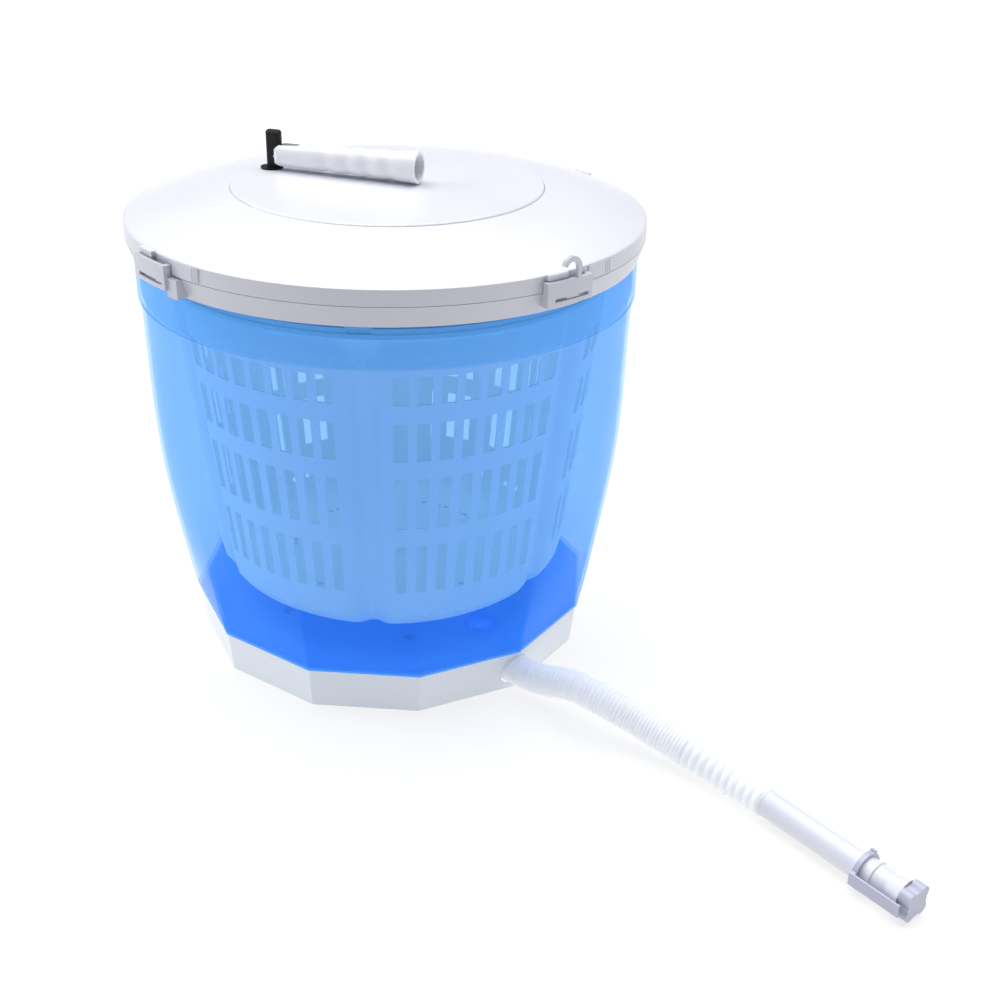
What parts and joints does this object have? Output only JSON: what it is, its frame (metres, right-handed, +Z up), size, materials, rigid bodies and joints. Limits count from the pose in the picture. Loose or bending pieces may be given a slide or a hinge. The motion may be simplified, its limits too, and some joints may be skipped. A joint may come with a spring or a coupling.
{
  "type": "portable washing machine",
  "caption": "Hand-cranked portable washing machine: translucent tub, slotted lobed basket, domed lid with a crank disc and folding handle, and a ribbed drain hose with a capped spout.",
  "frame": {"origin": "on the floor under the middle of the base", "axes": "+Z up; +X towards the drain outlet and the clip that carries the hook"},
  "size_m": [0.6587, 0.372, 0.3713],
  "materials": {
    "white": "satin moulded",
    "basket_white": "satin moulded",
    "tub_blue": "translucent, polished",
    "hose": "soft moulded",
    "black": "satin moulded",
    "acetal": "machined",
    "rubber": "matt",
    "steel": "plain"
  },
  "bodies": {
    "machine": {"base": "white", "rubber_feet": "rubber", "base_screws": "steel", "tub": "tub_blue", "pivot_pin": "steel", "thrust_washer": "acetal", "drain_elbow": "white", "drain_seal": "rubber", "drain_nut": "white", "drain_hose": "hose", "bellows_cuff": "hose", "spout_tube": "hose", "cap_strap": "hose", "rim_ring": "white"},
    "lid": {"lid_shell": "white", "shaft_housing": "white", "lid_gasket": "rubber", "lid_bush": "acetal", "shaft_seal": "rubber", "gear_plate": "steel", "gear_plate_screws": "steel", "planet_pins": "steel", "planet_fasteners": "steel", "disc_retainers": "white", "retainer_screws": "steel"},
    "crank": {"crank_disc": "white", "ring_gear": "acetal", "ring_gear_screws": "steel", "handle_bush": "acetal"},
    "post": {"handle_post": "black", "post_washer": "steel", "post_screw": "steel", "fold_pin": "steel"},
    "grip": {"handle_grip": "white"},
    "planet_1": {"planet_gear_1": "acetal"},
    "planet_2": {"planet_gear_2": "acetal"},
    "planet_3": {"planet_gear_3": "acetal"},
    "drive": {"sun_gear": "acetal", "basket_cover": "white", "cover_screw": "steel"},
    "basket_body": {"basket": "basket_white", "basket_bush": "acetal"},
    "cap": {"spout_cap": "hose"}
  },
  "joints": [
    {"name": "lid_lift", "type": "slide", "parent": "machine", "child": "lid", "axis": [0, 0, 1], "range_m": [0, 0.2]},
    {"name": "basket_spin", "type": "hinge", "parent": "machine", "child": "basket_body", "pos_m": [0, 0, 0.05], "axis": [0, 0, 1], "continuous": true},
    {"name": "crank_spin", "type": "hinge", "parent": "lid", "child": "crank", "pos_m": [0, 0, 0.342], "axis": [0, 0, 1], "continuous": true},
    {"name": "planet_spin_1", "type": "hinge", "parent": "lid", "child": "planet_1", "pos_m": [0, 0.036, 0.333], "axis": [0, 0, 1], "continuous": true},
    {"name": "planet_spin_2", "type": "hinge", "parent": "lid", "child": "planet_2", "pos_m": [-0.03118, -0.018, 0.333], "axis": [0, 0, 1], "continuous": true},
    {"name": "planet_spin_3", "type": "hinge", "parent": "lid", "child": "planet_3", "pos_m": [0.03118, -0.018, 0.333], "axis": [0, 0, 1], "continuous": true},
    {"name": "drive_spin", "type": "hinge", "parent": "lid", "child": "drive", "pos_m": [0, 0, 0.315], "axis": [0, 0, 1], "continuous": true},
    {"name": "handle_swivel", "type": "hinge", "parent": "crank", "child": "post", "pos_m": [-0.0776, -0.04499, 0.34], "axis": [0, 0, 1], "continuous": true},
    {"name": "handle_fold", "type": "hinge", "parent": "post", "child": "grip", "pos_m": [-0.0725, -0.04203, 0.3545], "axis": [0.5015, -0.8652, 0], "range_deg": [0, 89]},
    {"name": "cap_pull", "type": "slide", "parent": "machine", "child": "cap", "axis": [0.9995, -0.03, 0.0083], "range_m": [0, 0.025]}
  ],
  "couplings": [
    {"joint": "drive_spin", "follows": "basket_spin", "ratio": 1},
    {"joint": "planet_spin_1", "follows": "basket_spin", "ratio": -1},
    {"joint": "planet_spin_2", "follows": "basket_spin", "ratio": -1},
    {"joint": "planet_spin_3", "follows": "basket_spin", "ratio": -1},
    {"joint": "crank_spin", "follows": "basket_spin", "ratio": -0.33333}
  ]
}
